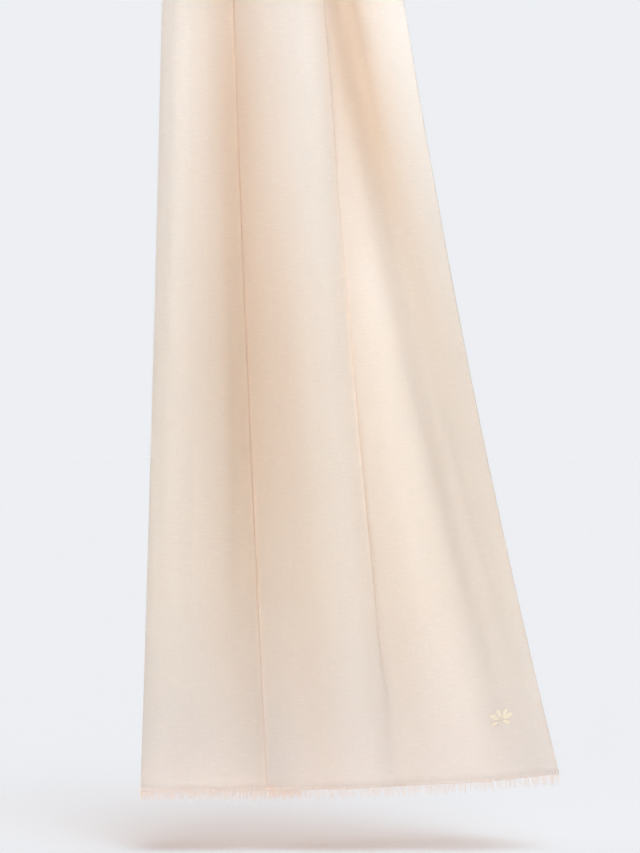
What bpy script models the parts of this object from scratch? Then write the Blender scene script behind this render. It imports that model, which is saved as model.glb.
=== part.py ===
"""A pashmina shawl: one long woven cloth with a short frayed fringe at each end.

It hangs by its middle over a slim round support (a rod, a peg or a hand), which is not part of it.
One end falls in front of the support (towards -Y) and the other behind it (towards +Y). The cloth is
gathered where it is held, so its folds run down both falls and fan out towards the hems: a side tucked
behind, two soft overlapping pleats and a wave beside the free selvage.

Every cross-section of the cloth is a folded line in a plane. Its corners are the rows of FOLDS: x runs
across the shawl, and "lift" is how far the cloth stands out from the surface that it hangs over. Each
fold runs from the top to the hem in one slight curve, so a section anywhere between is worked out from
the table.

Metres, +Z up. The origin is on the underside of the cloth at the top of the fold, where it is held.
"""

import math
from collections import namedtuple

import bmesh
import bpy
from mathutils import Vector

MM = 0.001

# Driving sizes
OVERALL_LENGTH = 2.000
FRINGE_LENGTH = 13 * MM
WALL = 1.0 * MM
SEAM_GAP = 0.4 * MM
SUPPORT_RADIUS = 12 * MM
BACK_SHORTER = 16 * MM
FRINGE_STRIP = 2.2 * MM
FRINGE_SPACING = 7.2 * MM
STRAND_TIP_SHARE = 0.3
LEAST_STRAND_WIDTH = 2.6 * MM

# How the folds run down a fall: they are fully open at this share of the way to the hem, and they fan
# out a little faster towards the hem than a straight line would.
OPEN_AT = 0.16
FLARE = 0.22

# Rows along each fall, and across the top.
FRONT_ROWS = 17
BACK_ROWS = 12
TOP_ROWS = 8

CLOTH_COLOUR = (0.86, 0.74, 0.64, 1.0)
FRINGE_COLOUR = (0.89, 0.80, 0.72, 1.0)

# The corners of a section, in millimetres, from the hidden selvage to the free one. A "wave" is a
# single soft corner. A turn of the cloth onto itself is a pair of corners, "turn" and "back", one for
# each layer. "round" is how far from the corner its rounding begins, and "points" how many points it
# has. Each corner has its place at the top and at each hem, its lift where the folds are open, and for
# the front the lift that it bends towards between there and the hem.
Fold = namedtuple(
    "Fold",
    "name kind round points top_x top_lift"
    " front_open front_bend front_x front_lift back_open back_x back_lift",
)
FOLDS = [
    #    name                kind   round pts  top_x lift  open  bend  hem_x  lift  open  hem_x  lift
    Fold("tucked_selvage",  "edge",   0,  1,    30,  0.6,  2.0,  2.0,    34,  2.0,  2.5,    44,   2.5),
    Fold("side_turn_inner", "turn",   9,  4,  -118,  0.6,  5.0,  5.0,  -144,  4.0,  5.0,  -126,   4.0),
    Fold("side_turn_outer", "back",  14,  4,  -118,  3.4, 26.0, 26.0,  -144, 20.0, 22.0,  -126,  18.0),
    Fold("side_ridge",      "wave",  22,  5,   -99,  3.4, 46.0, 47.0,  -115, 33.0, 36.0,   -98,  31.0),
    Fold("side_flank",      "wave",  22,  5,   -72,  3.6, 35.0, 33.0,   -54, 26.5, 27.5,   -64,  23.0),
    Fold("pleat_foot",      "wave",  10,  4,   -50,  3.4, 21.0, 20.0,   -12, 19.0, 16.0,   -33,  13.5),
    Fold("pleat_turn_low",  "turn",   4,  3,    22,  3.4, 12.0, 11.5,    26, 13.5, 10.0,     6,   9.5),
    Fold("pleat_turn_high", "back",   4,  3,    22,  6.2, 15.5, 15.0,    26, 16.7, 13.3,     6,  12.8),
    Fold("pleat_edge_low",  "turn",   5,  3,   -48,  6.2, 25.5, 24.5,    -7, 22.0, 20.5,   -24,  17.0),
    Fold("pleat_edge_high", "back",   8,  4,   -48, 12.6, 29.5, 28.5,    -7, 25.5, 25.0,   -24,  21.0),
    Fold("middle_flank",    "wave",  24,  5,   -14, 13.8, 44.0, 41.0,    52, 32.5, 36.0,    32,  29.5),
    Fold("middle_ridge",    "wave",  24,  5,    22, 14.6, 57.0, 55.0,   106, 39.0, 47.0,    84,  38.5),
    Fold("overlap_high",    "turn",   6,  4,    45, 14.2, 50.0, 51.0,   126, 36.0, 42.0,   108,  35.0),
    Fold("overlap_low",     "back",   5,  3,    45, 11.4, 46.5, 47.8,   130, 32.5, 38.0,   110,  31.5),
    Fold("valley_turn_top", "turn",   4,  3,   -12, 11.4, 37.0, 42.0,   142, 29.5, 30.0,   102,  28.5),
    Fold("valley_turn_low", "back",   4,  3,   -12,  8.8, 33.0, 38.0,   151, 29.5, 26.5,   105,  25.0),
    Fold("wave_ridge",      "wave",  30,  6,    26,  8.8, 41.0, 62.0,   224, 43.0, 33.0,   178,  36.0),
    Fold("wave_valley",     "wave",   9,  5,    49,  5.0, 20.0, 34.0,   288, 25.0, 10.0,   216,  23.0),
    Fold("selvage_ridge",   "wave",  24,  6,    74,  0.8, 42.0, 17.0,   298, 24.0, 38.0,   246,  32.0),
    Fold("free_selvage",    "edge",   0,  1,   119,  0.6, 54.0, 16.0,   307, 22.0, 37.0,   264,  30.0),
]

# How far the woven cloth runs down each fall, below the level of the support's axis.
HALF_WOVEN = OVERALL_LENGTH / 2 - FRINGE_LENGTH
TOP_ARC = math.pi / 2 * SUPPORT_RADIUS
FRONT_FALL = HALF_WOVEN + BACK_SHORTER / 2 - TOP_ARC
BACK_FALL = HALF_WOVEN - BACK_SHORTER / 2 - TOP_ARC


def clear_scene():
    for obj in list(bpy.data.objects):
        bpy.data.objects.remove(obj, do_unlink=True)


def mix(a, b, share):
    return a + (b - a) * share


def eased(share):
    return share * share * (3 - 2 * share)


def corner(fold, side, down):
    """(x, lift) of a fold's corner in metres, down being 0 at the support and 1 at the hem."""
    if side == "front":
        hem_x = fold.front_x
        open_lift, bend, hem_lift = fold.front_open, fold.front_bend, fold.front_lift
    else:
        hem_x = fold.back_x
        open_lift, hem_lift = fold.back_open, fold.back_lift
        bend = (open_lift + hem_lift) / 2
    x = mix(fold.top_x, hem_x, mix(down, down * down, FLARE))
    if down < OPEN_AT:
        lift = mix(fold.top_lift, open_lift, eased(down / OPEN_AT))
    else:
        share = (down - OPEN_AT) / (1 - OPEN_AT)
        lift = mix(mix(open_lift, bend, share), mix(bend, hem_lift, share), share)
    return Vector((x * MM, lift * MM))


def section(side, down):
    """The cloth's line across the shawl: (x, lift) points in metres, with every corner rounded."""
    corners = [corner(fold, side, down) for fold in FOLDS]
    line = []
    for i, fold in enumerate(FOLDS):
        here = corners[i]
        if fold.kind == "edge":
            line.append(here)
            continue
        before, after = corners[i - 1] - here, corners[i + 1] - here
        reach_before = min(fold.round * MM, 0.42 * before.length)
        reach_after = min(fold.round * MM, 0.42 * after.length)
        if fold.kind == "turn":
            reach_after = 0.5 * after.length
        if fold.kind == "back":
            reach_before = 0.5 * before.length
        start = here + before.normalized() * reach_before
        end = here + after.normalized() * reach_after
        first = 1 if fold.kind == "back" else 0
        for k in range(first, fold.points):
            share = k / (fold.points - 1)
            line.append(mix(mix(start, here, share), mix(here, end, share), share))
    return line


def on_fall(side, point, down, extra=0.0):
    """A point of a section placed on a fall, extra being a length below that section.

    A thread keeps its length, so one that slants outwards ends a little higher."""
    run = FRONT_FALL if side == "front" else BACK_FALL
    outwards = -1 if side == "front" else 1
    slant = (point.x - point_above(side, point, down)) if down else 0.0
    drop = down * run - slant * slant / (2 * run)
    y = outwards * (SUPPORT_RADIUS + point.y)
    return Vector((point.x, y, -SUPPORT_RADIUS - drop - extra))


def point_above(side, point, down):
    """Where the thread through a point of a fall leaves the top, by the share of the width that it is at."""
    left, right = corner(FOLDS[1], side, down).x, corner(FOLDS[-1], side, down).x
    share = (point.x - left) / (right - left)
    return mix(FOLDS[1].top_x, FOLDS[-1].top_x, share) * MM


def on_top(point, turn):
    """A point of the top section placed on its arc over the support, turn being -1 in front and 1 behind."""
    angle = turn * math.pi / 2
    radius = SUPPORT_RADIUS + point.y
    return Vector((point.x, radius * math.sin(angle), radius * math.cos(angle) - SUPPORT_RADIUS))


def make_material(name, colour, roughness):
    material = bpy.data.materials.new(name)
    material.use_nodes = True
    shader = material.node_tree.nodes["Principled BSDF"]
    shader.inputs["Base Color"].default_value = colour
    shader.inputs["Roughness"].default_value = roughness
    shader.inputs["Metallic"].default_value = 0.0
    return material


def grid_of(rows):
    """A bmesh grid moved onto rows of points, all rows having as many points."""
    mesh = bmesh.new()
    across, along = len(rows[0]) - 1, len(rows) - 1
    made = bmesh.ops.create_grid(mesh, x_segments=across, y_segments=along, size=1.0)
    for vertex in made["verts"]:
        i = round((vertex.co.x + 1) / 2 * across)
        j = round((vertex.co.y + 1) / 2 * along)
        vertex.co = rows[j][i]
    return mesh


def add_object(name, mesh, material, collection):
    data = bpy.data.meshes.new(name)
    mesh.to_mesh(data)
    mesh.free()
    data.shade_smooth()
    obj = bpy.data.objects.new(name, data)
    obj.data.materials.append(material)
    collection.objects.link(obj)
    return obj


def add_wall(name, rows, material, collection):
    """A cloth wall: the grid through the rows, thickened equally to both sides."""
    obj = add_object(name, grid_of(rows), material, collection)
    solidify = obj.modifiers.new("wall", "SOLIDIFY")
    solidify.thickness = WALL
    solidify.offset = 0.0
    solidify.use_quality_normals = True
    return obj


def fall_rows(side, count):
    """Rows of points down a fall, closer together near the top where the folds open fastest."""
    rows = []
    for j in range(count):
        share = j / (count - 1)
        down = mix(share * share, share, 0.36)
        line = section(side, down)
        rows.append([on_fall(side, p, down, SEAM_GAP if j == 0 else 0.0) for p in line])
    return rows


def top_rows(count):
    line = section("front", 0.0)
    return [[on_top(p, 2 * j / (count - 1) - 1) for p in line] for j in range(count)]


def fringe_line(side):
    """The hem's section with its long stretches divided, so that each step can carry one strand."""
    line = section(side, 1.0)
    steps = [line[0]]
    for a, b in zip(line, line[1:]):
        pieces = max(1, round((b - a).length / FRINGE_SPACING))
        steps += [mix(a, b, (k + 1) / pieces) for k in range(pieces)]
    return steps


def add_fringe(name, side, material, collection):
    """A narrow strip just below the hem, with a tapering strand drawn down from each step of it."""
    steps = fringe_line(side)
    levels = [SEAM_GAP, SEAM_GAP + FRINGE_STRIP]
    rows = [[on_fall(side, p, 1.0, level) for p in steps] for level in levels]
    mesh = grid_of(rows)
    bmesh.ops.recalc_face_normals(mesh, faces=mesh.faces)
    bmesh.ops.solidify(mesh, geom=mesh.faces[:], thickness=WALL)
    mesh.normal_update()
    undersides = [f for f in mesh.faces if f.normal.z < -0.9]
    wide = [f for f in undersides if max(e.calc_length() for e in f.edges) > LEAST_STRAND_WIDTH]
    strands = bmesh.ops.extrude_discrete_faces(mesh, faces=wide)["faces"]
    for tip in strands:
        centre = tip.calc_center_median()
        for vertex in tip.verts:
            vertex.co = mix(centre, vertex.co, STRAND_TIP_SHARE)
            vertex.co.z -= FRINGE_LENGTH - FRINGE_STRIP
    return add_object(name, mesh, material, collection)


def main():
    clear_scene()
    collection = bpy.data.collections.new("pashmina_shawl")
    bpy.context.scene.collection.children.link(collection)
    cloth = make_material("cashmere_cloth", CLOTH_COLOUR, 0.85)
    frayed = make_material("frayed_warp", FRINGE_COLOUR, 0.9)
    add_wall("front_fall", fall_rows("front", FRONT_ROWS), cloth, collection)
    add_wall("top_fold", top_rows(TOP_ROWS), cloth, collection)
    add_wall("back_fall", fall_rows("back", BACK_ROWS), cloth, collection)
    add_fringe("front_fringe", "front", frayed, collection)
    add_fringe("back_fringe", "back", frayed, collection)


main()
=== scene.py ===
import math
import random
from collections import namedtuple

import bpy
import numpy as np
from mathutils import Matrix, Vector
from mathutils.bvhtree import BVHTree


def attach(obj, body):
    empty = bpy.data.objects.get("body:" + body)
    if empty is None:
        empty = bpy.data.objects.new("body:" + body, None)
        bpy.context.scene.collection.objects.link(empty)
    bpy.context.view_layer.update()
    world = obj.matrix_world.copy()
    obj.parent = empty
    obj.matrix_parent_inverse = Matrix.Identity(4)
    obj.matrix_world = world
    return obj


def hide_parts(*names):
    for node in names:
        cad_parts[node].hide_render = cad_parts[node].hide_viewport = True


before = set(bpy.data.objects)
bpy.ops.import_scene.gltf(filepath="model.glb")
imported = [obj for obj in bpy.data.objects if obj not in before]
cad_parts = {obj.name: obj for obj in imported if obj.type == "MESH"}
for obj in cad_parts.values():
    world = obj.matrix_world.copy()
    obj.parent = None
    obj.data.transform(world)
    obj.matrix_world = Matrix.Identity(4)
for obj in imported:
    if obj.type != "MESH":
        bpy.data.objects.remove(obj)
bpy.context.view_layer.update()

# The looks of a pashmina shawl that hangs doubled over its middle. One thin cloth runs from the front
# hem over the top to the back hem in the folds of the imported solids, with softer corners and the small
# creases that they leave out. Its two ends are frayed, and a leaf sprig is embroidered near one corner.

MM = 0.001

# ---------------------------------------------------------------- sizes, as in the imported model
OVERALL_LENGTH = 2.000
CLOTH_WIDTH = 0.700
FRINGE_LENGTH = 13 * MM
SUPPORT_RADIUS = 12 * MM
BACK_SHORTER = 16 * MM
OPEN_AT = 0.16  # share of a fall over which the folds open below the top
FLARE = 0.22  # how much later than in a straight line the folds spread
HALF_WOVEN = OVERALL_LENGTH / 2 - FRINGE_LENGTH
TOP_ARC = math.pi / 2 * SUPPORT_RADIUS
FALL = {"front": HALF_WOVEN + BACK_SHORTER / 2 - TOP_ARC, "back": HALF_WOVEN - BACK_SHORTER / 2 - TOP_ARC}

# The corners of a section, in millimetres, from the hidden selvage to the free one. "soft" is how far
# from the corner its rounding begins, and "points" how many points it has.
Fold = namedtuple(
    "Fold",
    "name kind soft points top_x top_lift"
    " front_open front_bend front_x front_lift back_open back_x back_lift",
)
FOLDS = [
    #    name                kind   soft pts  top_x lift  open  bend  hem_x  lift  open  hem_x  lift
    Fold("tucked_selvage",  "edge",   0,  1,    30,  0.6,  2.0,  2.0,    34,  2.0,  2.5,    44,   2.5),
    Fold("side_turn_inner", "turn",   9,  6,  -118,  0.6,  5.0,  5.0,  -144,  4.0,  5.0,  -126,   4.0),
    Fold("side_turn_outer", "back",  16,  8,  -118,  3.4, 26.0, 26.0,  -144, 20.0, 22.0,  -126,  18.0),
    Fold("side_ridge",      "wave",  26,  9,   -99,  3.4, 46.0, 47.0,  -115, 33.0, 36.0,   -98,  31.0),
    Fold("side_flank",      "wave",  30,  9,   -72,  3.6, 35.0, 33.0,   -54, 26.5, 27.5,   -64,  23.0),
    Fold("pleat_foot",      "wave",  10,  6,   -50,  3.4, 22.6, 21.6,   -12, 20.4, 16.0,   -33,  13.5),
    Fold("pleat_turn_low",  "turn",   4,  4,    22,  3.4, 12.0, 11.5,    26, 13.5, 10.0,     6,   9.5),
    Fold("pleat_turn_high", "back",   4,  4,    22,  6.2, 15.5, 15.0,    26, 16.7, 13.3,     6,  12.8),
    Fold("pleat_edge_low",  "turn",   5,  4,   -48,  6.2, 23.9, 22.9,    -7, 21.2, 19.2,   -24,  15.8),
    Fold("pleat_edge_high", "back",   8,  6,   -48, 12.6, 25.4, 24.4,    -7, 22.6, 22.1,   -24,  18.4),
    Fold("middle_flank",    "wave",  30,  9,   -14, 13.8, 44.0, 41.0,    52, 32.5, 36.0,    32,  29.5),
    Fold("middle_ridge",    "wave",  32,  9,    22, 14.6, 57.0, 55.0,   106, 39.0, 47.0,    84,  38.5),
    Fold("overlap_high",    "turn",   6,  5,    45, 14.2, 47.0, 48.0,   126, 33.8, 39.4,   108,  32.6),
    Fold("overlap_low",     "back",   5,  4,    45, 11.4, 45.4, 46.7,   130, 31.6, 37.4,   110,  30.8),
    Fold("valley_turn_top", "turn",   4,  4,   -12, 11.4, 37.0, 43.5,   142, 29.5, 30.0,   102,  28.5),
    Fold("valley_turn_low", "back",   4,  4,   -12,  8.8, 33.0, 40.0,   151, 29.5, 26.5,   105,  25.0),
    Fold("wave_ridge",      "wave",  36, 11,    26,  8.8, 41.0, 62.0,   224, 43.0, 33.0,   178,  36.0),
    Fold("wave_valley",     "wave",  14,  9,    49,  5.0, 20.0, 34.0,   288, 25.0, 10.0,   216,  23.0),
    Fold("selvage_ridge",   "wave",  30,  9,    74,  0.8, 42.0, 17.0,   298, 24.0, 38.0,   246,  32.0),
    Fold("free_selvage",    "edge",   0,  1,   119,  0.6, 54.0, 16.0,   307, 22.0, 37.0,   264,  30.0),
]
AT = {fold.name: index for index, fold in enumerate(FOLDS)}
# Stretches of the section, counted in corners, that lie under other layers. They carry only a share of
# the small creases, so that layers stay apart.
HIDDEN = ((0.0, 2.3), (5.2, 9.2), (11.8, 15.1))
HIDDEN_SHARE = 0.12

# ---------------------------------------------------------------- creases laid one by one
# Each is a soft line down a fall. at_top and at_hem are its place in the section, counted in corners of
# FOLDS, where it starts and ends; start and end are shares of the fall; width and depth are in
# millimetres, and a negative depth is a trough.
Crease = namedtuple("Crease", "side at_top at_hem start end width depth")
CREASES = [
    # gathers that run down from the held top
    Crease("front", 2.75, 2.60, 0.00, 0.17, 3.0, -0.8),
    Crease("front", 3.20, 3.25, 0.00, 0.20, 3.0, -0.6),
    Crease("front", 3.50, 3.50, 0.00, 0.44, 4.5, -1.3),
    Crease("front", 3.95, 3.90, 0.00, 0.50, 5.0, 1.1),
    Crease("front", 4.40, 4.30, 0.00, 0.22, 3.0, 0.7),
    Crease("front", 4.75, 4.80, 0.02, 0.26, 3.0, -0.6),
    Crease("front", 9.55, 9.70, 0.00, 0.24, 3.0, -0.7),
    Crease("front", 9.90, 10.20, 0.00, 0.34, 4.0, -1.0),
    Crease("front", 10.30, 10.30, 0.01, 0.20, 3.0, 0.8),
    Crease("front", 10.65, 10.90, 0.00, 0.40, 4.5, -1.0),
    Crease("front", 11.10, 11.05, 0.00, 0.22, 3.0, 0.6),
    Crease("front", 11.45, 11.40, 0.00, 0.18, 2.5, -0.5),
    Crease("front", 15.40, 15.60, 0.00, 0.20, 3.0, -0.6),
    Crease("front", 15.80, 15.80, 0.00, 0.28, 3.5, 0.8),
    Crease("front", 16.40, 16.30, 0.01, 0.18, 3.0, -0.7),
    Crease("front", 17.30, 17.40, 0.00, 0.26, 4.0, -1.2),
    Crease("front", 17.70, 17.80, 0.00, 0.20, 3.0, 0.9),
    Crease("front", 18.30, 18.20, 0.00, 0.30, 4.0, -1.0),
    Crease("front", 18.70, 18.60, 0.01, 0.18, 3.0, 0.7),
    # long soft ones lower down
    Crease("front", 3.55, 3.35, 0.30, 0.98, 9.0, -1.3),
    Crease("front", 4.25, 4.45, 0.25, 0.80, 8.0, 1.0),
    Crease("front", 4.70, 4.55, 0.45, 1.00, 10.0, -1.6),
    Crease("front", 9.80, 10.05, 0.30, 0.85, 9.0, -1.0),
    Crease("front", 10.45, 10.35, 0.45, 1.00, 10.0, 1.2),
    Crease("front", 10.90, 10.75, 0.20, 0.75, 8.0, -1.0),
    Crease("front", 15.75, 15.60, 0.35, 0.90, 9.0, -1.0),
    Crease("front", 16.35, 16.50, 0.40, 0.95, 10.0, 1.0),
    Crease("front", 16.80, 16.75, 0.55, 1.02, 12.0, -1.6),
    Crease("front", 17.40, 17.20, 0.30, 0.80, 7.0, 1.0),
    # the back has its own
    Crease("back", 2.70, 2.60, 0.00, 0.20, 3.0, -0.8),
    Crease("back", 3.30, 3.50, 0.00, 0.32, 4.0, -1.1),
    Crease("back", 3.75, 3.80, 0.01, 0.18, 3.0, 0.8),
    Crease("back", 4.20, 4.10, 0.00, 0.38, 4.5, -1.1),
    Crease("back", 4.65, 4.70, 0.00, 0.24, 3.0, 0.7),
    Crease("back", 9.65, 9.80, 0.00, 0.22, 3.0, -0.7),
    Crease("back", 10.05, 10.30, 0.00, 0.36, 4.0, -1.0),
    Crease("back", 10.55, 10.50, 0.01, 0.20, 3.0, 0.8),
    Crease("back", 10.95, 10.85, 0.00, 0.30, 4.0, -0.9),
    Crease("back", 15.60, 15.70, 0.00, 0.26, 3.5, -0.7),
    Crease("back", 16.30, 16.20, 0.00, 0.20, 3.0, 0.8),
    Crease("back", 17.35, 17.30, 0.00, 0.30, 4.0, -1.1),
    Crease("back", 18.25, 18.30, 0.00, 0.24, 3.5, 0.9),
    Crease("back", 3.60, 3.40, 0.35, 1.00, 9.0, -1.4),
    Crease("back", 4.50, 4.60, 0.30, 0.85, 9.0, 1.1),
    Crease("back", 10.25, 10.10, 0.35, 0.95, 10.0, -1.3),
    Crease("back", 10.75, 10.60, 0.30, 0.80, 9.0, 1.1),
    Crease("back", 15.80, 15.55, 0.40, 1.00, 10.0, -1.2),
    Crease("back", 16.45, 16.60, 0.30, 0.90, 9.0, 1.1),
    Crease("back", 17.50, 17.40, 0.45, 1.00, 9.0, -1.2),
]

# ---------------------------------------------------------------- painted shade and light of the folds
# Where the cloth's painted shade and painted light depart from the depth of its hollows. Each row is a soft
# stretch
# beside a fold: shift and reach across it are in millimetres, start and end are shares of the fall, "deeper"
# adds painted shade to the hollows' tone and "paler" adds painted light to the faint glow. These and the
# other numbers of this section are fitted to the photo's tones by measure, and stand for nothing in the real
# cloth.
Tone = namedtuple("Tone", "fold shift reach start end deeper paler")
TONES = [
    Tone("side_flank",     0, 34, 0.60, 1.30, 0.00, 0.28),
    Tone("middle_flank",   4, 26, 0.28, 1.30, 0.17, 0.00),
    Tone("overlap_high",  -8, 15, 0.38, 0.98, 0.00, 0.32),
    Tone("wave_ridge",     9, 12, 0.08, 0.60, 0.00, 0.35),
    Tone("wave_ridge",     0, 32, 0.28, 1.04, 0.00, 0.40),
    Tone("wave_valley",   12, 14, 0.20, 0.62, 0.13, 0.00),
    Tone("wave_valley",   -4, 20, 0.30, 1.04, 0.00, 0.18),
]
# Where the painted shade in the hollows fades sooner: "by" is the share that is lost, and reach is in
# millimetres.
Fade = namedtuple("Fade", "fold reach start by")
FADES = [
    Fade("overlap_high", 26, 0.40, 0.50),
    Fade("wave_valley",  38, 0.28, 0.65),
]
# The glow in the crack beside a folded edge, between the corners first and last: painted light, which lifts
# the shade in the crack. The edge points to the left (way -1) or right (1); high and low are the glow's
# strength down to HIGH_TO and from LOW_FROM, in shares of the fall, "shut" is where it has ended, and wide is
# in millimetres.
Crack = namedtuple("Crack", "first last way high low shut wide")
CRACKS = [
    Crack("pleat_edge_low", "pleat_edge_high", -1, 0.60, 0.75, 2.00, 3.2),
    Crack("overlap_high",   "overlap_low",      1, 0.15, 0.80, 0.94, 2.8),
]
HIGH_TO, LOW_FROM = 0.28, 0.73
# painted light: a glow at the turned side that lightens its shade
SIDE_GLOW = (0.5, 0.1)  # at the turned side, at the top and at the hem
SIDE_GLOW_REACH = 13 * MM
# Down the fall the painted shade in the hollows fades by this share, between these two heights.
FLATTER_BY, FLATTER_FROM, FLATTER_TO = 0.8, 0.50, 1.08
# The shares of the fall over which a row of TONES comes and goes, and over which one of FADES comes.
TONE_COMES, TONE_GOES, FADE_COMES = 0.25, 0.20, 0.30

# ---------------------------------------------------------------- the cloth's form
STEP = 3.7 * MM  # longest piece of a straight leg
MOST_ROUNDED = 0.46  # share of a leg that the rounding at one end may take, unless two corners make a turn
LEVELS = 20  # steps down a fall in which its legs are measured
ROWS = {"front": 102, "top": 13, "back": 76}
ROW_EVENNESS = 0.45  # 1 spaces the rows of a fall evenly, 0 crowds them to its top
THICKNESS = 0.5 * MM
# The painted shade is full at this depth of a fold, or at this share of its section's deepest place if that
# is more.
CREASE_DEPTH = 15 * MM
CREASE_SHARE = 0.88
CREASE_BLUR = 10 * MM  # by which the depths are smoothed
WAVER = 1.2 * MM  # how far a crease strays sideways
SWELL = 0.35 * MM  # of the faint unevenness between the creases


def mix(a, b, share):
    return a + (b - a) * share


def eased(share):
    share = min(1.0, max(0.0, share))
    return share * share * (3 - 2 * share)


def corner(index, side, down):
    """(x, lift) of a fold's corner in metres, down being 0 at the support and 1 at the hem."""
    fold = FOLDS[index]
    if side == "front":
        hem_x = fold.front_x
        open_lift, bend, hem_lift = fold.front_open, fold.front_bend, fold.front_lift
    else:
        hem_x = fold.back_x
        open_lift, hem_lift = fold.back_open, fold.back_lift
        bend = (open_lift + hem_lift) / 2
    x = mix(fold.top_x, hem_x, mix(down, down * down, FLARE))
    if down < OPEN_AT:
        lift = mix(fold.top_lift, open_lift, eased(down / OPEN_AT))
    else:
        share = (down - OPEN_AT) / (1 - OPEN_AT)
        lift = mix(mix(open_lift, bend, share), mix(bend, hem_lift, share), share)
    return np.array((x * MM, lift * MM))


def reaches(corners):
    """How far each corner's rounding runs along the legs before and after it."""
    found = []
    for i, fold in enumerate(FOLDS):
        if fold.kind == "edge":
            found.append((0.0, 0.0))
            continue
        before = np.linalg.norm(corners[i - 1] - corners[i])
        after = np.linalg.norm(corners[i + 1] - corners[i])
        reach_before = min(fold.soft * MM, MOST_ROUNDED * before)
        reach_after = min(fold.soft * MM, MOST_ROUNDED * after)
        if fold.kind == "turn":
            reach_after = 0.5 * after
        if fold.kind == "back":
            reach_before = 0.5 * before
        found.append((reach_before, reach_after))
    return found


def leg_pieces():
    """How many pieces the straight part of each leg is divided into, the same at every level."""
    longest = [0.0] * (len(FOLDS) - 1)
    for side in ("front", "back"):
        for level in range(LEVELS + 1):
            corners = [corner(i, side, level / LEVELS) for i in range(len(FOLDS))]
            reach = reaches(corners)
            for i in range(len(FOLDS) - 1):
                straight = np.linalg.norm(corners[i + 1] - corners[i]) - reach[i][1] - reach[i + 1][0]
                longest[i] = max(longest[i], straight)
    return [max(1, math.ceil(length / STEP)) if length > 1e-6 else 0 for length in longest]


PIECES = leg_pieces()


def section(side, down):
    """The cloth's line across the shawl: points (x, lift) in metres, and each one's place in corners."""
    corners = [corner(i, side, down) for i in range(len(FOLDS))]
    reach = reaches(corners)
    points, places = [], []
    for i, fold in enumerate(FOLDS):
        here = corners[i]
        if fold.kind == "edge":
            points.append(here)
            places.append(float(i))
        else:
            before, after = corners[i - 1] - here, corners[i + 1] - here
            long_before, long_after = np.linalg.norm(before), np.linalg.norm(after)
            start = here + before * (reach[i][0] / long_before)
            end = here + after * (reach[i][1] / long_after)
            for k in range(1 if fold.kind == "back" else 0, fold.points):
                share = k / (fold.points - 1)
                points.append(mix(mix(start, here, share), mix(here, end, share), share))
                places.append(i + mix(-reach[i][0] / long_before, reach[i][1] / long_after, share))
        if i + 1 < len(FOLDS) and PIECES[i]:
            leg = corners[i + 1] - here
            length = np.linalg.norm(leg)
            first, last = reach[i][1] / length, 1 - reach[i + 1][0] / length
            for k in range(1, PIECES[i]):
                share = mix(first, last, k / PIECES[i])
                points.append(here + leg * share)
                places.append(i + share)
    return np.array(points), np.array(places)


def along_of(points):
    """Distance along a section from its first point."""
    steps = np.linalg.norm(np.diff(points, axis=0), axis=1)
    return np.concatenate(([0.0], np.cumsum(steps)))


def loose(places):
    """1 where the cloth lies open and HIDDEN_SHARE under other layers, with a short fade at each end."""
    free = np.ones_like(places)
    for first, last in HIDDEN:
        inside = (places > first) & (places < last)
        free[inside] = HIDDEN_SHARE
        for edge in (first, last):
            near = np.clip(np.abs(places - edge) / 0.25, 0, 1)
            free = np.minimum(free, np.where(inside, free, mix(HIDDEN_SHARE, 1, near)))
    return free


def creased(side, down, points, places):
    """The section with the hand-laid creases pressed into it."""
    along = along_of(points)
    shift = np.zeros(len(points))
    for line in CREASES:
        if line.side != side or not line.start <= down <= line.end:
            continue
        share = (down - line.start) / (line.end - line.start)
        fade = eased(share / 0.2) * eased((1 - share) / 0.45)
        if line.start == 0.0:
            # it has begun at the top already, and fades sooner
            fade = eased((share + 0.1) / 0.2) * eased((1 - share) / 0.7)
        at = np.interp(mix(line.at_top, line.at_hem, share), places, along)
        waver = WAVER * math.sin(9 * down + 5 * line.at_top)
        shift += line.depth * MM * fade * np.exp(-(((along - at - waver) / (line.width * MM)) ** 2))
    # a faint unevenness over the open stretches, in long soft swells
    swell = np.sin(along * 61 + 7 * down + 1.3) * np.sin(5.1 * down + along * 13)
    swell += 0.6 * np.sin(along * 103 - 11 * down) * np.sin(9.7 * down + 2.0)
    shift += SWELL * swell * eased(down / 0.2)
    tangent = np.gradient(points, along, axis=0)
    tangent /= np.linalg.norm(tangent, axis=1)[:, None]
    normal = np.stack((-tangent[:, 1], tangent[:, 0]), axis=1)
    return points + normal * (shift * loose(places))[:, None]


def hollow_of(points):
    """How deep each point lies in the folds, from 0 on the ridges to 1 in the creases, which sets its painted
    shade.

    The depth is taken from a cord stretched over the ridges, in steps of a millimetre."""
    low, high = points[:, 0].min(), points[:, 0].max()
    xs = np.arange(low, high, MM)
    top = np.full(len(xs), -1.0)
    for a, b in zip(points, points[1:]):
        count = int(abs(b[0] - a[0]) / (0.5 * MM)) + 2
        share = np.linspace(0, 1, count)
        spots = np.rint((mix(a[0], b[0], share) - low) / MM).astype(int).clip(0, len(xs) - 1)
        np.maximum.at(top, spots, mix(a[1], b[1], share))
    cord = []
    for spot in zip(xs, top):
        while len(cord) > 1 and (cord[-1][0] - cord[-2][0]) * (spot[1] - cord[-2][1]) >= (
            (cord[-1][1] - cord[-2][1]) * (spot[0] - cord[-2][0])
        ):
            cord.pop()
        cord.append(spot)
    depth = np.interp(xs, [c[0] for c in cord], [c[1] for c in cord]) - top
    depth = np.clip(depth / max(CREASE_DEPTH, CREASE_SHARE * depth.max()), 0, 1)
    weight = np.exp(-(((xs[:, None] - xs[None, :]) / CREASE_BLUR) ** 2))
    depth = weight @ depth / weight.sum(axis=1)
    return np.interp(points[:, 0], xs, depth)


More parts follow.
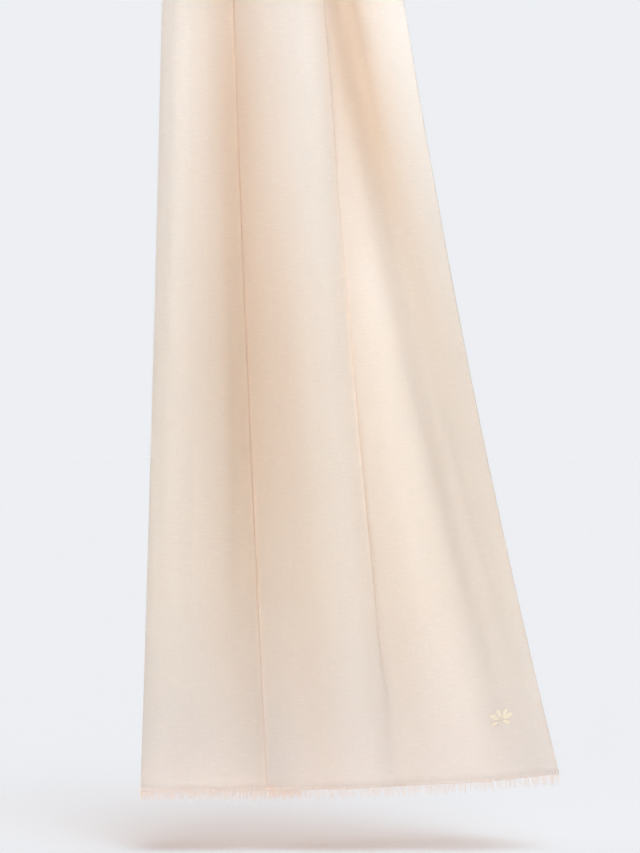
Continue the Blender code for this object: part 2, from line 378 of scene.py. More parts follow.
def glow_of(points, places, down):
    """A faint glow of painted light in the cracks beside the folded edges and at the turned side, from 0 to
    1.
    """
    glow = np.zeros(len(points))
    for crack in CRACKS:
        fold = points[(places >= AT[crack.first] - 0.2) & (places <= AT[crack.last] + 0.2)]
        edge = (fold[:, 0] * crack.way).max() * crack.way
        away = points[:, 0] - edge - crack.way * 0.4 * MM
        near = np.exp(-((away / (crack.wide * MM)) ** 2))
        if crack.way < 0:
            near[places > AT[crack.first] - 1] = 0
        strength = mix(crack.high, crack.low, eased((down - HIGH_TO) / (LOW_FROM - HIGH_TO)))
        glow = np.maximum(glow, near * strength * eased((crack.shut - down) / 0.3))
    side = np.exp(-(((points[:, 0] - points[:, 0].min()) / SIDE_GLOW_REACH) ** 2))
    return np.maximum(glow, side * mix(*SIDE_GLOW, down))


def beside(fold, side, down, points, shift, reach):
    """1 beside a fold's corner, fading out over the reach to either side; both in millimetres."""
    away = points[:, 0] - corner(AT[fold], side, down)[0] - shift * MM
    return np.exp(-((away / (reach * MM)) ** 2))


def tones_of(side, down, points, places):
    """The painted shade and painted light of a fall's section: the shade in its hollows and its glow."""
    flatter = 1 - FLATTER_BY * eased((down - FLATTER_FROM) / (FLATTER_TO - FLATTER_FROM))
    for fade in FADES:
        near = beside(fade.fold, side, down, points, 0, fade.reach)
        flatter = flatter * (1 - fade.by * eased((down - fade.start) / FADE_COMES) * near)
    painted_fold_shade = flatter * hollow_of(points)
    glow = glow_of(points, places, down)
    for tone in TONES:
        near = beside(tone.fold, side, down, points, tone.shift, tone.reach)
        near = near * eased((down - tone.start) / TONE_COMES) * eased((tone.end - down) / TONE_GOES)
        painted_fold_shade = painted_fold_shade + tone.deeper * near
        glow = glow + tone.paler * near
    return np.stack((painted_fold_shade, glow), axis=1)


def thread_top(side, x, down):
    """Where the thread through a point of a fall leaves the top, by the share of the width that it is at."""
    left, right = corner(1, side, down)[0], corner(len(FOLDS) - 1, side, down)[0]
    return mix(FOLDS[1].top_x, FOLDS[-1].top_x, (x - left) / (right - left)) * MM


def on_fall(side, points, down):
    """Section points placed on a fall. A thread that slants outwards ends a little higher."""
    run = FALL[side]
    outwards = -1 if side == "front" else 1
    x = points[:, 0]
    slant = (x - thread_top(side, x, down)) * (1.0 if down else 0.0)
    z = -SUPPORT_RADIUS - down * run + slant * slant / (2 * run)
    return np.stack((x, outwards * (SUPPORT_RADIUS + points[:, 1]), z), axis=1)


def on_top(points, turn):
    """Section points placed on their arc over the support, turn being -1 in front and 1 behind."""
    angle = turn * math.pi / 2
    radius = SUPPORT_RADIUS + points[:, 1]
    y, z = radius * math.sin(angle), radius * math.cos(angle) - SUPPORT_RADIUS
    return np.stack((points[:, 0], y, z), axis=1)


def fall_rows(side):
    """A fall's rows from the top down. The back's first row is the top's last, so it starts one later."""
    rows = []
    late = 1 if side == "back" else 0
    for j in range(ROWS[side]):
        share = (j + late) / (ROWS[side] - 1 + late)
        down = mix(share * share, share, ROW_EVENNESS)
        points, places = section(side, down)
        points = creased(side, down, points, places)
        v = (TOP_ARC + down * FALL[side]) * (-1 if side == "front" else 1)
        rows.append((on_fall(side, points, down), cloth_map(points, v), tones_of(side, down, points, places)))
    return rows


def top_rows():
    """The rows over the support, whose section turns from the front's into the back's."""
    rows = []
    front, places = section("front", 0.0)
    front = creased("front", 0.0, front, places)
    back = creased("back", 0.0, *section("back", 0.0))
    for j in range(1, ROWS["top"] + 1):
        turn = 2 * j / ROWS["top"] - 1
        line = mix(front, back, (turn + 1) / 2)
        tones = np.stack((hollow_of(line), glow_of(line, places, 0.0)), axis=1)
        rows.append((on_top(line, turn), cloth_map(front, turn * TOP_ARC), tones))
    return rows


def cloth_map(points, v):
    """Each point's place in metres of flat cloth, v being 0 over the support and negative in front."""
    along = along_of(points)
    return np.stack((along / along[-1] * CLOTH_WIDTH, np.full(len(points), v)), axis=1)


def cloth_rows():
    """Rows of points from the front hem over the top to the back hem, with (u, v) and the painted shade and
    light for each.
    """
    rows = fall_rows("front")[::-1] + top_rows() + fall_rows("back")
    return tuple(np.array([row[k] for row in rows]) for k in range(3))


def placed(name, data):
    """A new object in the scene."""
    obj = bpy.data.objects.new(name, data)
    bpy.context.scene.collection.objects.link(obj)
    return obj


def shell(name, rows, uvs, tones, thickness):
    """A closed thin shell on a grid of points, with its map in metres of cloth and its painted shade and
    painted light.
    """
    down_steps = np.gradient(rows, axis=0)
    across_steps = np.gradient(rows, axis=1)
    normals = np.cross(across_steps, down_steps)
    normals /= np.linalg.norm(normals, axis=2)[:, :, None]
    count, width = rows.shape[:2]
    outer = (rows + normals * thickness / 2).reshape(-1, 3)
    inner = (rows - normals * thickness / 2).reshape(-1, 3)
    ids = np.arange(count * width).reshape(count, width)
    quads = np.stack((ids[:-1, :-1], ids[:-1, 1:], ids[1:, 1:], ids[1:, :-1]), axis=-1).reshape(-1, 4)
    under = quads[:, ::-1] + count * width
    rim = np.concatenate((ids[0, :], ids[1:, -1], ids[-1, -2::-1], ids[-2:0:-1, 0]))
    nxt = np.roll(rim, -1)
    band = np.stack((rim, rim + count * width, nxt + count * width, nxt), axis=-1)
    faces = np.concatenate((quads, under, band))
    mesh = bpy.data.meshes.new(name)
    mesh.from_pydata(np.concatenate((outer, inner)).tolist(), [], faces.tolist())
    mesh.update()
    flat_uv = np.concatenate((uvs.reshape(-1, 2), uvs.reshape(-1, 2)))
    layer = mesh.uv_layers.new(name="cloth_metres")
    layer.data.foreach_set("uv", flat_uv[faces.ravel()].astype(np.float32).ravel())
    for k, tone in enumerate(("painted_fold_shade", "glow")):
        both = np.concatenate((tones[:, :, k].ravel(), tones[:, :, k].ravel()))
        mesh.attributes.new(tone, "FLOAT", "POINT").data.foreach_set("value", both.astype(np.float32))
    # the cloth's cut faces stay flat, so that they don't bend the shading of its borders
    smooth = np.arange(len(faces)) < 2 * len(quads)
    mesh.polygons.foreach_set("use_smooth", smooth)
    return placed(name, mesh)


def tube(vertices, faces, centres, radii, axes, sides, turned=0.0):
    """Add a closed tube: a ring round each of the centres, in the plane of the two axes."""
    base = len(vertices)
    for centre, radius in zip(centres, radii):
        for k in range(sides):
            turn = 2 * math.pi * k / sides + turned
            vertices.append(centre + axes[0] * radius * math.cos(turn) + axes[1] * radius * math.sin(turn))
    for r in range(len(centres) - 1):
        for k in range(sides):
            a, b = base + sides * r + k, base + sides * r + (k + 1) % sides
            faces.append((a, b, b + sides, a + sides))
    faces.append(tuple(base + k for k in reversed(range(sides))))
    faces.append(tuple(len(vertices) - sides + k for k in range(sides)))


def smooth_mesh(name, vertices, faces):
    mesh = bpy.data.meshes.new(name)
    mesh.from_pydata([tuple(v) for v in vertices], [], faces)
    mesh.update()
    mesh.shade_smooth()
    return mesh


# ---------------------------------------------------------------- frayed ends
FRAY_INSET = 0.4 * MM  # from the selvages to the first and last thread
TUFT_SIZES = (3, 4, 5, 6, 8, 9)
ROOT_RISES = (0.8, 0.9, 1.0, 1.8, 3.0)  # how far up the cloth, in millimetres, a thread starts
ROOT_ON_FACE = 1.2  # a thread that rises more than this starts on the cloth's face, not in its edge
LONG_ENDS = 46
THREAD_RINGS, THREAD_SIDES = 5, 3
THREAD_TURNED = 0.4  # radians
THREAD_TAPER = 0.55  # share of its width that a thread loses by its tip
THREAD_MAP = 12 * MM  # what each thread takes of the map along its length
LEVEL = (Vector((1, 0, 0)), Vector((0, 1, 0)))  # the plane of each ring
# tone is 0 for plain yarn and 1 for pale
Thread = namedtuple("Thread", "root tip width bow tone")


class Hem:
    """A fall's hem, by the distance along it."""

    def __init__(self, side):
        points, places = section(side, 1.0)
        points = creased(side, 1.0, points, places)
        self.along = along_of(points)
        self.length = self.along[-1]
        self.points = on_fall(side, points, 1.0)
        self.outwards = -1 if side == "front" else 1

    def place(self, at):
        return Vector([float(np.interp(at, self.along, self.points[:, k])) for k in range(3)])


def tufts(hem, chance):
    """Fine threads in small uneven tufts. Those of one tuft lean alike and are pulled to its middle."""
    at = FRAY_INSET
    while at < hem.length - FRAY_INSET:
        size = chance.choice(TUFT_SIZES)
        lean = Vector((chance.gauss(0, 1.3), chance.gauss(0, 0.5), 0)) * MM
        length = (8.6 + 2.8 * chance.random() + 1.2 * math.sin(at * 47)) * MM
        middle = at + size * 0.30 * MM
        for _ in range(size):
            if at >= hem.length - FRAY_INSET:
                break
            rise = chance.choice(ROOT_RISES) * MM
            proud = hem.outwards * 0.36 * MM if rise > ROOT_ON_FACE * MM else 0
            root = hem.place(at) + Vector((0, proud, rise))
            own = length * chance.uniform(0.72, 1.12)
            pull = (hem.place(min(middle, hem.length)) - root) * chance.uniform(0.1, 0.55)
            tip = root + lean + Vector((pull.x, pull.y, 0)) + Vector((0, 0, -own - rise))
            tip += Vector((chance.gauss(0, 0.5), chance.gauss(0, 0.35), 0)) * MM
            bow = Vector((chance.gauss(0, 0.35), chance.gauss(0, 0.35), 0)) * MM
            width = chance.uniform(0.24, 0.40) * MM
            yield Thread(root, tip, width, bow, chance.uniform(0.0, 0.5))
            at += chance.uniform(0.36, 0.66) * MM
        if chance.random() < 0.10:
            at += chance.uniform(0.6, 2.2) * MM


def long_ends(hem, chance):
    """Longer, thicker ends that catch the light."""
    for _ in range(LONG_ENDS):
        spot = chance.uniform(0.01, 0.99) * hem.length
        root = hem.place(spot) + Vector((0, hem.outwards * 0.2 * MM, 1.5 * MM))
        own = chance.uniform(11.0, 16.0) * MM
        sideways, proud = chance.gauss(0, 1.8) * MM, hem.outwards * chance.uniform(0, 1.0) * MM
        tip = root + Vector((sideways, proud, -own))
        bow = Vector((chance.gauss(0, 0.9), chance.gauss(0, 0.4), 0)) * MM
        yield Thread(root, tip, chance.uniform(0.5, 0.8) * MM, bow, 1.0)


def frayed_end(name, side, seed):
    """The loose warp ends along a hem: each narrows to its tip and bows a little."""
    chance = random.Random(seed)
    hem = Hem(side)
    shares = [r / (THREAD_RINGS - 1) for r in range(THREAD_RINGS)]
    tapers = [1 - THREAD_TAPER * share ** 2 for share in shares]
    vertices, faces, pale, uvs = [], [], [], []
    for root, tip, width, bow, tone in [*tufts(hem, chance), *long_ends(hem, chance)]:
        centres = [root.lerp(tip, share) + bow * math.sin(math.pi * share) for share in shares]
        radii = [width / 2 * taper for taper in tapers]
        tube(vertices, faces, centres, radii, LEVEL, THREAD_SIDES, THREAD_TURNED)
        pale += [tone] * (THREAD_RINGS * THREAD_SIDES)
        uvs += [(root.x, share * THREAD_MAP) for share in shares for _ in range(THREAD_SIDES)]
    mesh = smooth_mesh(name, vertices, faces)
    mesh.attributes.new("pale", "FLOAT", "POINT").data.foreach_set("value", np.array(pale, np.float32))
    layer = mesh.uv_layers.new(name="cloth_metres")
    loops = np.array([uvs[loop.vertex_index] for loop in mesh.loops], np.float32)
    layer.data.foreach_set("uv", loops.ravel())
    return placed(name, mesh)


# ---------------------------------------------------------------- embroidery
# A plain sprig of satin-stitched leaves on a stem: where each leaf starts and ends, in millimetres from
# the sprig's centre (x to the right, z up), and its widest half width.
Leaf = namedtuple("Leaf", "x0 z0 x1 z1 half")
LEAVES = [
    Leaf(-2.0, -2.2, -12.5, 3.6, 2.6),
    Leaf(1.0, -1.4, 12.2, 5.4, 2.7),
    Leaf(-0.8, 0.0, -5.2, 9.2, 2.2),
    Leaf(1.2, 0.4, 5.4, 10.0, 2.2),
    Leaf(-3.2, -4.2, -10.8, -6.8, 1.9),
    Leaf(0.4, -3.2, 9.2, -4.8, 2.0),
]
STEM = [(-4.2, -9.4), (-2.6, -6.2), (-0.6, -3.0), (0.2, 0.4), (0.2, 4.2)]
SPRIG_AT = (244.5 * MM, -909.0 * MM)
STITCH_PITCH = 0.42  # between the stitches of a leaf, in millimetres like the next three
LEAF_STITCH = (0.46, 0.30)  # a stitch's thickness and how far it arches
STEM_STITCH = (0.62, 0.22)
STITCH_LIFT = 0.10
STEM_STITCHES = 3  # in each piece of the stem
STITCH_RINGS, STITCH_SIDES = 7, 6
OUT = Vector((0, -1, 0))  # out of the front of the cloth


def sprig(cloth):
    """Each stitch is a short raised thread laid on the cloth."""
    tree = BVHTree.FromObject(cloth, bpy.context.evaluated_depsgraph_get())
    chance = random.Random(5)
    vertices, faces = [], []

    def on_cloth(x, z, raised):
        origin = Vector((SPRIG_AT[0] + x * MM, -1.0, SPRIG_AT[1] + z * MM))
        spot = tree.ray_cast(origin, -OUT)[0]
        return spot + OUT * raised

    def stitch(x0, z0, x1, z1, thick, crown):
        direction = Vector((x1 - x0, 0, z1 - z0)).normalized()
        across = Vector((-direction.z, 0, direction.x))
        centres, radii = [], []
        for r in range(STITCH_RINGS):
            share = r / (STITCH_RINGS - 1)
            arch = math.sin(math.pi * share)
            raised = (STITCH_LIFT + crown * arch) * MM
            centres.append(on_cloth(mix(x0, x1, share), mix(z0, z1, share), raised))
            # it narrows to under half at its ends
            radii.append(thick / 2 * MM * (0.45 + 0.55 * min(1.0, 2.6 * arch)))
        tube(vertices, faces, centres, radii, (across, OUT), STITCH_SIDES)

    for leaf in LEAVES:
        start, end = Vector((leaf.x0, leaf.z0)), Vector((leaf.x1, leaf.z1))
        spine = end - start
        length = spine.length
        along = spine / length
        side = Vector((-along.y, along.x))
        count = int(length / STITCH_PITCH)
        for k in range(count):
            share = (k + 0.5) / count
            half = leaf.half * math.sin(math.pi * share ** 0.8) ** 0.75
            foot = start + spine * share
            for way in (-1, 1):
                tip = foot + side * way * half + along * (1.1 * half)
                jitter = chance.uniform(-0.12, 0.12)
                stitch(foot.x, foot.y, tip.x + jitter, tip.y + jitter, *LEAF_STITCH)
    for a, b in zip(STEM, STEM[1:]):
        for k in range(STEM_STITCHES):
            p = [mix(a[i], b[i], k / STEM_STITCHES) for i in (0, 1)]
            q = [mix(a[i], b[i], (k + 1.25) / STEM_STITCHES) for i in (0, 1)]
            stitch(*p, *q, *STEM_STITCH)
    return placed("leaf_sprig", smooth_mesh("leaf_sprig", vertices, faces))


# ---------------------------------------------------------------- materials
class Nodes:
    """A short hand for building a material's node tree. Values are sockets or constants."""

    def __init__(self, name):
        self.material = bpy.data.materials.new(name)
        self.material.use_nodes = True
        self.tree = self.material.node_tree
        self.tree.nodes.clear()
        self.output = self.add("ShaderNodeOutputMaterial")

    def add(self, kind, **settings):
        node = self.tree.nodes.new(kind)
        for key, value in settings.items():
            setattr(node, key, value)
        return node

    def put(self, socket, value):
        if isinstance(value, bpy.types.NodeSocket):
            self.tree.links.new(value, socket)
        else:
            socket.default_value = value

    def math(self, operation, a, b=0.0):
        node = self.add("ShaderNodeMath", operation=operation)
        self.put(node.inputs[0], a)
        self.put(node.inputs[1], b)
        return node.outputs[0]

    def product(self, first, *others):
        for other in others:
            first = self.math("MULTIPLY", first, other)
        return first

    def total(self, first, *weighted):
        """The first value plus each of the (value, weight) pairs."""
        for value, weight in weighted:
            first = self.math("ADD", first, self.math("MULTIPLY", value, weight))
        return first

    def blend(self, factor, a, b, kind="MIX"):
        node = self.add("ShaderNodeMix", data_type="RGBA", blend_type=kind)
        self.put(node.inputs[0], factor)
        self.put(node.inputs[6], a)
        self.put(node.inputs[7], b)
        return node.outputs[2]

    def noise(self, vector, grain, detail, rough):
        """Noise with so many grains a metre along each axis."""
        stretch = self.add("ShaderNodeVectorMath", operation="MULTIPLY")
        self.put(stretch.inputs[0], vector)
        stretch.inputs[1].default_value = grain
        node = self.add("ShaderNodeTexNoise", noise_dimensions="3D")
        self.put(node.inputs["Vector"], stretch.outputs[0])
        node.inputs["Scale"].default_value = 1.0
        node.inputs["Detail"].default_value = detail
        node.inputs["Roughness"].default_value = rough
        return node.outputs["Fac"]

    def remap(self, value, low, high, to_low=0.0, to_high=1.0):
        node = self.add("ShaderNodeMapRange", clamp=True)
        self.put(node.inputs[0], value)
        for k, number in enumerate((low, high, to_low, to_high)):
            node.inputs[k + 1].default_value = number
        return node.outputs[0]

    def attribute(self, name):
        return self.add("ShaderNodeAttribute", attribute_name=name).outputs["Fac"]

    def principled(self, inputs):
        shader = self.add("ShaderNodeBsdfPrincipled")
        for name, value in inputs.items():
            self.put(shader.inputs[name], value)
        return shader

    def thin(self, shader, colour, share, normal=None):
        """The material, as a thin thing that passes a share of the light on to its other side."""
        through = self.add("ShaderNodeBsdfTranslucent")
        self.put(through.inputs["Color"], colour)
        if normal is not None:
            self.put(through.inputs["Normal"], normal)
        both = self.add("ShaderNodeMixShader")
        both.inputs[0].default_value = share
        self.put(both.inputs[1], shader.outputs[0])
        self.put(both.inputs[2], through.outputs[0])
        return self.finished(both)

    def finished(self, shader):
        self.put(self.output.inputs[0], shader.outputs[0])
        return self.material


# the cloth's colour on the ridges, and the painted shade of its creases, between which the hollows' depth
# blends
RIDGE = (0.886, 0.802, 0.722, 1)
CREASE_SHADE = (0.755, 0.580, 0.440, 1)
SELVAGE = (0.78, 0.64, 0.53, 1)
# tints, which the cloth's colour is multiplied by. The first four are painted: shade lower down, cool light
# from the floor at the hem, cooling of the light through the single layer at the top of the free side, and
# shade on the free side.
# PALE_THREAD is the yarn's own.
LOWER_DOWN_SHADE = (0.945, 0.929, 0.897, 1)
HEM_FLOOR_LIGHT = (0.958, 0.979, 1.041, 1)
FREE_SIDE_TOP_COOLING = (0.985, 1.02, 1.045, 1)
FREE_SIDE_SHADE = (0.85, 0.865, 0.88, 1)
PALE_THREAD = (1.13, 1.14, 1.15, 1)
# the glow, which is painted light, and how much of it the cloth's ends have
GLOW_COLOUR = (1.0, 0.90, 0.82, 1)
GLOW_STRENGTH = 0.10
HEM_GLOW, HEM_GLOW_REACH = 1.3, 4.5 * MM
TWILL_PITCH = 2.6 * MM
Weave = namedtuple("Weave", "twill weft warp slub fleck nap cloudy")


def weave(n, uv, u, v):
    """The patterns of the cloth: diamond twill, uneven threads, slubs, pale flecks, nap and cloudiness."""
    waves = 2 * math.pi / TWILL_PITCH
    rise = n.math("MULTIPLY", n.math("ADD", u, v), waves)
    fall = n.math("MULTIPLY", n.math("SUBTRACT", u, v), waves)
    slub = n.remap(n.noise(uv, (85, 640, 1), 1.0, 0.5), 0.63, 0.74)
    patch = n.remap(n.noise(uv, (13, 9, 1), 1.0, 0.5), 0.42, 0.62, 0.25, 1.0)
    return Weave(
        twill=n.product(n.math("SINE", rise), n.math("SINE", fall)),
        weft=n.noise(uv, (70, 1150, 1), 2.0, 0.6),
        warp=n.noise(uv, (1150, 42, 1), 2.0, 0.6),
        slub=n.product(slub, patch),
        fleck=n.remap(n.noise(uv, (330, 900, 1), 0.0, 0.5), 0.74, 0.84),
        nap=n.noise(uv, (900, 900, 1), 3.0, 0.7),
        cloudy=n.noise(uv, (9, 4, 1), 2.0, 0.5),
    )


def cloth_colour(n, woven, down, edge, from_free):
    """Painted shade, warmer and deeper in the hollows, with painted shade and light as tints given down the
    falls and at the free side.
    """
    # painted shade in the hollows, lessened near the top of the free side
    flat = n.product(n.remap(from_free, 0.0, 0.055, 1.0, 0.0), n.remap(down, 0.12, 0.42, 0.9, 0.0))
    painted_fold_shade = n.product(n.attribute("painted_fold_shade"), n.math("SUBTRACT", 1.0, flat))
    # masks of the painted cooling at the top of the free side and the painted shade lower on it
    free = n.remap(from_free, 0.0, 0.085, 1.0, 0.0)
    free_top = n.product(free, n.remap(down, 0.15, 0.50, 1.0, 0.0))
    free = n.product(free, n.remap(down, 0.05, 0.38, 0.1, 1.0), n.remap(down, 0.45, 0.90, 1.0, 0.5))
    colour = n.blend(painted_fold_shade, RIDGE, CREASE_SHADE)
    for amount, tint in (
        (n.remap(down, 0.18, 0.55), LOWER_DOWN_SHADE),
        (n.remap(down, 0.78, HALF_WOVEN), HEM_FLOOR_LIGHT),
        (free_top, FREE_SIDE_TOP_COOLING),
        (free, FREE_SIDE_SHADE),
    ):
        colour = n.blend(amount, colour, tint, "MULTIPLY")
    # the noises are 0.5 on average, and the twill 0
    noises = ((woven.weft, 0.12), (woven.warp, 0.06), (woven.nap, 0.12), (woven.cloudy, 0.05))
    average = 0.5 * sum(weight for _, weight in noises)
    light = n.total(1.0 - average, *noises, (woven.twill, 0.026))
    colour = n.blend(1.0, colour, light, "MULTIPLY")
    colour = n.blend(n.total(woven.fleck, (woven.slub, 0.50)), colour, PALE_THREAD, "MULTIPLY")
    # a few closer warp threads along each side
    selvage = n.remap(edge, 1.6 * MM, 3.2 * MM, 1.0, 0.0)
    return n.blend(n.product(selvage, 0.12), colour, SELVAGE)


def cloth_bump(n, woven):
    bump = n.add("ShaderNodeBump")
    bump.inputs["Strength"].default_value = 0.45
    bump.inputs["Distance"].default_value = 0.35 * MM
    height = n.total(
        n.product(woven.weft, 0.45),
        (woven.warp, 0.40),
        (woven.twill, 0.10),
        (woven.slub, 0.35),
        (woven.fleck, 0.35),
        (woven.nap, 0.35),
    )
    n.put(bump.inputs["Height"], height)
    return bump.outputs[0]


def cashmere():
    """Fine twill cloth with a soft nap, and a faint glow of painted light along its ends and where its
    attribute says so.
    """
    n = Nodes("cashmere_cloth")
    uv = n.add("ShaderNodeUVMap", uv_map="cloth_metres").outputs[0]
    axes = n.add("ShaderNodeSeparateXYZ")
    n.put(axes.inputs[0], uv)
    u, v = axes.outputs[0], axes.outputs[1]
    from_free = n.math("SUBTRACT", CLOTH_WIDTH, u)
    edge = n.math("MINIMUM", u, from_free)
    to_front_hem = n.math("ADD", v, TOP_ARC + FALL["front"])
    to_back_hem = n.math("SUBTRACT", TOP_ARC + FALL["back"], v)
    to_hem = n.math("MINIMUM", to_front_hem, to_back_hem)
    border = n.math("MINIMUM", edge, to_hem)

    woven = weave(n, uv, u, v)
    colour = cloth_colour(n, woven, n.math("ABSOLUTE", v), edge, from_free)
    normal = cloth_bump(n, woven)
    # painted light: the glow attribute, and a glow along the hems
    glow = n.math("ADD", n.attribute("glow"), n.remap(to_hem, 0.0, HEM_GLOW_REACH, HEM_GLOW, 0.0))
    shader = n.principled({
        "Base Color": colour,
        "Roughness": n.remap(woven.nap, 0.3, 0.7, 0.78, 0.92),
        "Specular IOR Level": 0.18,
        "Subsurface Weight": n.remap(border, 0.5 * MM, 3 * MM, 0.68, 0.6),
        "Subsurface Radius": (1.0, 0.8, 0.65),
        "Subsurface Scale": 6 * MM,
        "Sheen Weight": 0.22,
        "Sheen Roughness": 0.55,
        "Sheen Tint": (1.0, 0.95, 0.90, 1),
        "Normal": normal,
        "Emission Color": GLOW_COLOUR,
        "Emission Strength": n.product(glow, GLOW_STRENGTH),
    })
    shader.subsurface_method = "BURLEY"
    return n.thin(shader, colour, 0.16, normal)


def frayed():
    """Loose yarn ends, paler where they catch the light, with a faint glow of painted light."""
    n = Nodes("frayed_warp")
    uv = n.add("ShaderNodeUVMap", uv_map="cloth_metres").outputs[0]
    ply = n.noise(uv, (900, 700, 1), 2.0, 0.6)
    colour = n.blend(n.attribute("pale"), (0.97, 0.85, 0.77, 1), (1.0, 0.96, 0.92, 1))
    colour = n.blend(n.remap(ply, 0.3, 0.7, 0.0, 0.3), colour, (0.93, 0.80, 0.72, 1))
    shader = n.principled({
        "Base Color": colour,
        "Roughness": n.remap(ply, 0.3, 0.7, 0.8, 0.95),
        "Specular IOR Level": 0.15,
        "Sheen Weight": 0.2,
        "Emission Color": (1.0, 0.90, 0.86, 1),
        "Emission Strength": 0.27,
    })
    return n.thin(shader, colour, 0.5)


def embroidery():
    """Pale gold stitching thread with a soft gloss and a faint glow of painted light."""
    n = Nodes("sprig_thread")
    place = n.add("ShaderNodeTexCoord").outputs["Object"]
    ply = n.noise(place, (2600, 2600, 2600), 1.0, 0.5)
    return n.finished(n.principled({
        "Base Color": n.blend(n.remap(ply, 0.35, 0.65), (0.93, 0.79, 0.60, 1), (1.0, 0.92, 0.80, 1)),
        "Roughness": n.remap(ply, 0.3, 0.7, 0.34, 0.5),
        "Specular IOR Level": 0.5,
        "Emission Color": (1.0, 0.86, 0.62, 1),
        "Emission Strength": 0.07,
    }))


# ---------------------------------------------------------------- stage
BACKGROUND = (0.847, 0.863, 0.896, 1)
WORLD_LIGHT, WORLD_STRENGTH = (0.90, 0.92, 0.96, 1), 0.30
FLOOR_REACH, FLOOR_LEVEL = 60.0, -1.053
# the floor's warm glow is painted light that stays in the shawl's shadow as light bounced from the shawl
# would
FLOOR_PAINT, FLOOR_GLOW = (0.741, 0.840, 0.896, 1), (0.30, 0.17, 0.11, 1)
PHOTO_TALL = 853 * 1.075 * MM  # what the photo shows from top to bottom
PHOTO_CENTRE = (0.0495, -0.596)
FRONT_PLANE = -0.04  # where the photo's scale of 1.075 mm a pixel holds, amid the depth of the front folds
CAMERA_DISTANCE = 4.5  # from that plane

# A sun's size is its spread in degrees and its place doesn't matter; a disk's size is in metres.
Lamp = namedtuple("Lamp", "name kind strength size direction place colour", defaults=((0, 0, 0), (1, 1, 1)))
LIGHTING_ALL = [
    Lamp("key", "SUN", 0.42, 60, (-0.16, 1.0, -0.36)),
    Lamp("behind", "SUN", 0.10, 34, (-0.40, -1.0, -0.75)),
    Lamp("overhead", "SUN", 0.34, 40, (-0.25, -0.25, -1.0)),
]
# suns for the floor alone, which draw the shawl's soft warm shadow on it
LIGHTING_FLOOR = [
    Lamp("over_floor_%d" % k, "SUN", 0.36, 30, (-0.15, tilt, -1.0), colour=(0.75, 0.95, 1.05))
    for k, tilt in enumerate((0.12, 0.35, 0.60, 0.90))
]
# lamps for the shawl alone: its back and left side, and a softbox in front of the upper half
LIGHTING_SHAWL = [
    Lamp("back_fill", "SUN", 1.3, 50, (0.75, -1.0, -0.20)),
    Lamp("side_fill", "SUN", 0.16, 50, (1.0, 0.15, -0.15)),
    Lamp("low_left", "AREA", 1.1, 0.7, (0.35, 0.55, 0.05), (-0.45, -0.55, -0.85)),
    Lamp("softbox", "AREA", 8.8, 0.7, (-0.12, 1.0, -0.36), (0.18, -1.29, 0.22)),
]


def make_floor():
    """A plain pale floor under the shawl, the same tone as the studio round it, with a warm glow of painted
    light.
    """
    mesh = bpy.data.meshes.new("floor")
    sides = ((-1, -1), (1, -1), (1, 1), (-1, 1))
    mesh.from_pydata([(x * FLOOR_REACH, y * FLOOR_REACH, FLOOR_LEVEL) for x, y in sides], [], [(0, 1, 2, 3)])
    floor = placed("floor", mesh)
    n = Nodes("pale_floor")
    paint = n.add("ShaderNodeBsdfDiffuse")
    paint.inputs["Color"].default_value = FLOOR_PAINT
    glow = n.add("ShaderNodeEmission")
    glow.inputs["Color"].default_value = FLOOR_GLOW
    glow.inputs["Strength"].default_value = 1.0
    both = n.add("ShaderNodeAddShader")
    n.put(both.inputs[0], paint.outputs[0])
    n.put(both.inputs[1], glow.outputs[0])
    mesh.materials.append(n.finished(both))
    return floor


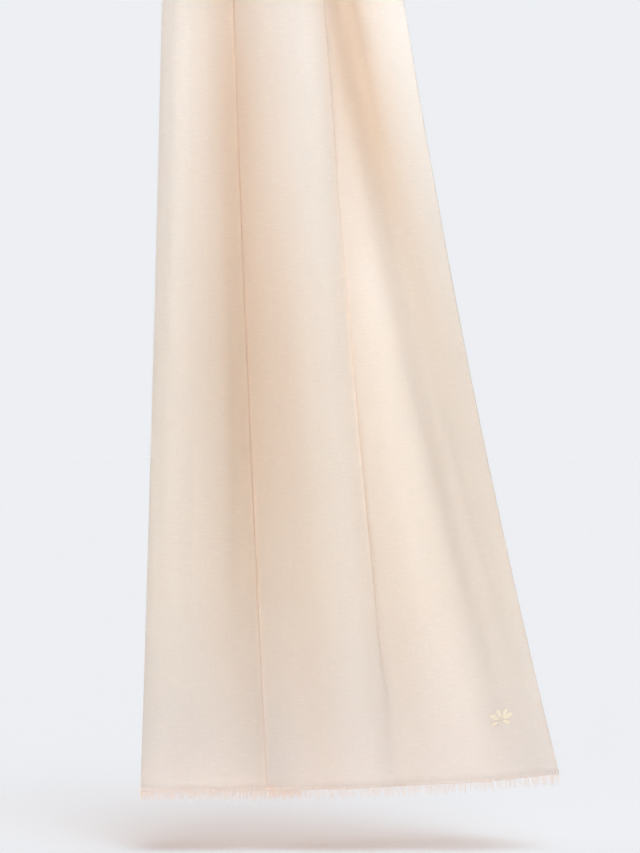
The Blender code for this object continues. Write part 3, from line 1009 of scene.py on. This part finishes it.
def make_world():
    """The studio: one tone that the camera sees, and another that lights the shawl and the floor."""
    world = bpy.data.worlds.new("studio")
    bpy.context.scene.world = world
    world.use_nodes = True
    tree = world.node_tree
    tree.nodes.clear()
    output = tree.nodes.new("ShaderNodeOutputWorld")
    seen = tree.nodes.new("ShaderNodeBackground")
    seen.inputs[0].default_value = BACKGROUND
    lit = tree.nodes.new("ShaderNodeBackground")
    lit.inputs[0].default_value = WORLD_LIGHT
    lit.inputs[1].default_value = WORLD_STRENGTH
    path = tree.nodes.new("ShaderNodeLightPath")
    choose = tree.nodes.new("ShaderNodeMixShader")
    tree.links.new(path.outputs["Is Camera Ray"], choose.inputs[0])
    tree.links.new(lit.outputs[0], choose.inputs[1])
    tree.links.new(seen.outputs[0], choose.inputs[2])
    tree.links.new(choose.outputs[0], output.inputs[0])


def add_lamps(lamps, name=None, receivers=()):
    """The lamps of a table. With a name, they light only the receivers, in a collection of that name."""
    lit = bpy.data.collections.new(name) if name else None
    for receiver in receivers:
        lit.objects.link(receiver)
    for lamp in lamps:
        light = bpy.data.lights.new(lamp.name, lamp.kind)
        light.energy = lamp.strength
        light.color = lamp.colour
        if lamp.kind == "SUN":
            light.angle = math.radians(lamp.size)
        else:
            light.shape = "DISK"
            light.size = lamp.size
        obj = placed(lamp.name, light)
        obj.location = lamp.place
        obj.rotation_euler = Vector(lamp.direction).to_track_quat("-Z", "Y").to_euler()
        if lit is not None:
            obj.light_linking.receiver_collection = lit


def make_camera():
    """Level, straight at the shawl's front, framed as the photo frames it."""
    data = bpy.data.cameras.new("camera")
    data.sensor_width = 36
    data.lens = data.sensor_width * CAMERA_DISTANCE / PHOTO_TALL
    data.clip_end = 200
    camera = placed("camera", data)
    camera.location = (PHOTO_CENTRE[0], FRONT_PLANE - CAMERA_DISTANCE, PHOTO_CENTRE[1])
    camera.rotation_euler = (math.radians(90), 0, 0)
    bpy.context.scene.camera = camera


def main():
    bpy.context.scene.view_settings.view_transform = "Standard"
    make_camera()
    make_world()
    floor = make_floor()
    cloth = shell("shawl_cloth", *cloth_rows(), THICKNESS)
    cloth.data.materials.append(cashmere())
    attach(cloth, "root")
    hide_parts("front_fall", "top_fold", "back_fall")
    yarn = frayed()
    ends = []
    for name, side, seed, node in (
        ("front_frayed_end", "front", 11, "front_fringe"),
        ("back_frayed_end", "back", 23, "back_fringe"),
    ):
        end = frayed_end(name, side, seed)
        end.data.materials.append(yarn)
        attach(end, "root")
        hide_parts(node)
        ends.append(end)
    stitched = sprig(cloth)
    stitched.data.materials.append(embroidery())
    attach(stitched, "root")
    add_lamps(LIGHTING_ALL)
    add_lamps(LIGHTING_FLOOR, "lit_floor", [floor])
    add_lamps(LIGHTING_SHAWL, "lit_by_lamps", [cloth, *ends, stitched])


main()
